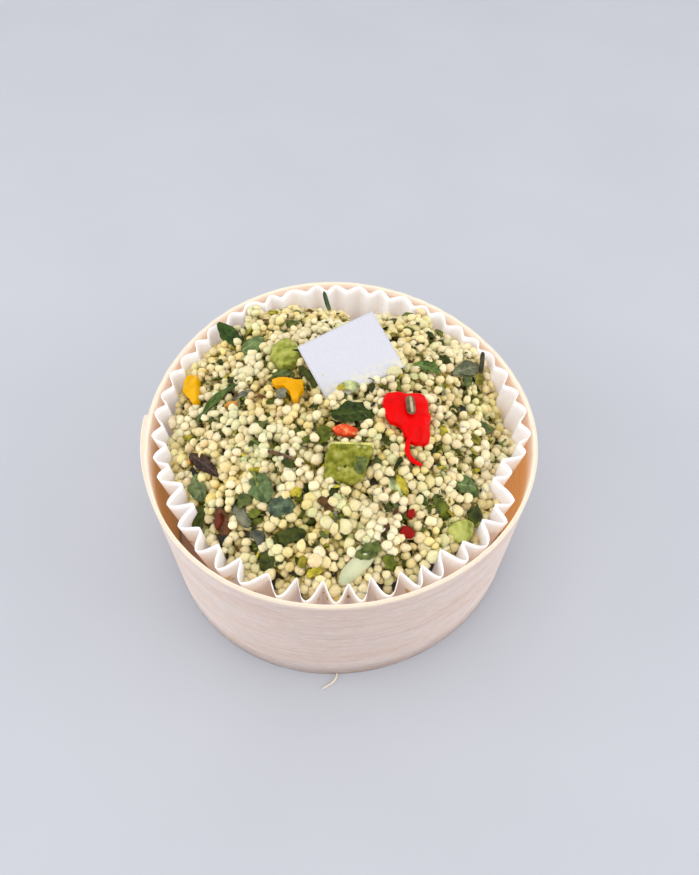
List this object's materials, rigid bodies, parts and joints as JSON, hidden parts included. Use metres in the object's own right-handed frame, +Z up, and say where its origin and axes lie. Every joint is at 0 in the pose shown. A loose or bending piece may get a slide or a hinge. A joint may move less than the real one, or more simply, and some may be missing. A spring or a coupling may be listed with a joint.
{
  "type": "tabbouleh salad",
  "caption": "Couscous tabbouleh heaped in a round veneer box with a pleated paper liner, a blank card stuck in it.",
  "frame": {"origin": "on the table under the middle of the box", "axes": "+Z up; -Y is the front, from where the card reads upright; +X is to the right; the band's lap is at -X"},
  "size_m": [0.1098, 0.1117, 0.0641],
  "materials": {
    "poplar_veneer": "sawn, unfinished",
    "liner_paper": "greaseproof, matt",
    "couscous": "moist",
    "white_card": "smooth, matt",
    "red_pepper": "glossy skin",
    "yellow_pepper": "wet",
    "green_tomato": "wet",
    "carrot": "wet",
    "white_onion": "wet",
    "mint_leaf": "veined, slightly glossy",
    "purple_leaf": "veined, slightly glossy"
  },
  "bodies": {
    "root": {"box_wall": "poplar_veneer", "box_base": "poplar_veneer", "paper_liner": "liner_paper", "salad_heap": "couscous", "label_card": "white_card", "red_pepper": "red_pepper", "red_pepper_curl": "red_pepper", "yellow_pepper_left": "yellow_pepper", "yellow_pepper_middle": "yellow_pepper", "green_tomato_middle": "green_tomato", "green_tomato_back": "green_tomato", "green_tomato_right": "green_tomato", "carrot_bit": "carrot", "onion_strip": "white_onion", "mint_leaf_middle": "mint_leaf", "mint_leaf_back": "mint_leaf", "mint_leaf_left": "mint_leaf", "purple_leaf_left": "purple_leaf", "purple_leaf_front": "purple_leaf", "green_strip_left": "mint_leaf", "dark_leaf_back_left": "mint_leaf", "lobed_leaf_front": "mint_leaf", "lobed_leaf_front_tip": "mint_leaf", "olive_leaf_right": "mint_leaf", "green_leaf_right": "mint_leaf", "leaf_right_low": "mint_leaf"}
  },
  "joints": []
}
